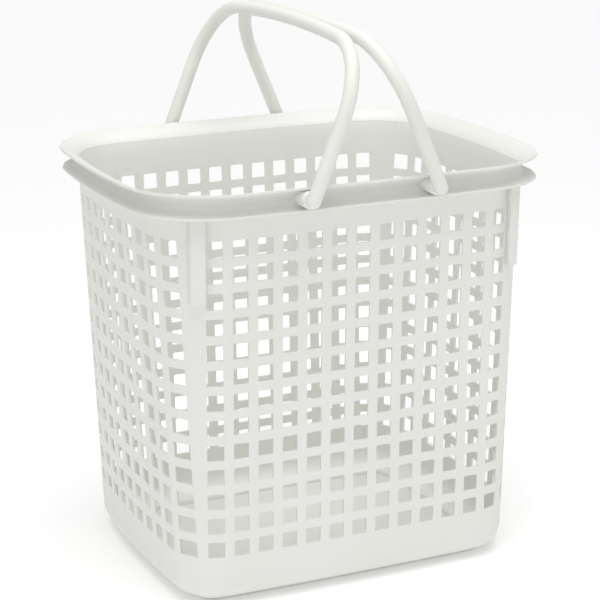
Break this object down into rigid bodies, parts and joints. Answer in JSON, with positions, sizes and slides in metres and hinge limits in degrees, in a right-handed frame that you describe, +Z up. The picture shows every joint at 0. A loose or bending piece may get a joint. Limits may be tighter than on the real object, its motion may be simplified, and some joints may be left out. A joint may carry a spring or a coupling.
{
  "type": "perforated basket",
  "caption": "Tall tapered plastic basket with square drain holes, a double lip rim and two swinging bail handles that meet in the middle.",
  "frame": {"origin": "centre of the foot panel's flat face, under the middle of the basket", "axes": "+Z up, X along the long sides and the row of two pivots, -Y towards the front long side"},
  "size_m": [0.421, 0.3748, 0.5331],
  "materials": {
    "body_plastic": "satin moulded off-white",
    "handle_plastic": "satin moulded off-white"
  },
  "bodies": {
    "basket": {"base_tray": "body_plastic", "front_wall_left": "body_plastic", "front_wall_middle": "body_plastic", "front_wall_right": "body_plastic", "back_wall_left": "body_plastic", "back_wall_middle": "body_plastic", "back_wall_right": "body_plastic", "left_wall_front": "body_plastic", "left_wall_middle": "body_plastic", "left_wall_back": "body_plastic", "right_wall_front": "body_plastic", "right_wall_middle": "body_plastic", "right_wall_back": "body_plastic", "front_left_corner": "body_plastic", "front_right_corner": "body_plastic", "back_left_corner": "body_plastic", "back_right_corner": "body_plastic", "rim": "body_plastic"},
    "left_handle": {"left_handle": "handle_plastic"},
    "right_handle": {"right_handle": "handle_plastic"}
  },
  "joints": [
    {"name": "left_handle_swing", "type": "hinge", "parent": "basket", "child": "left_handle", "pos_m": [-0.063, 0, 0.3896], "axis": [0, -1, 0], "range_deg": [0, 105]},
    {"name": "right_handle_swing", "type": "hinge", "parent": "basket", "child": "right_handle", "pos_m": [0.063, 0, 0.3896], "axis": [0, 1, 0], "range_deg": [0, 105]}
  ]
}
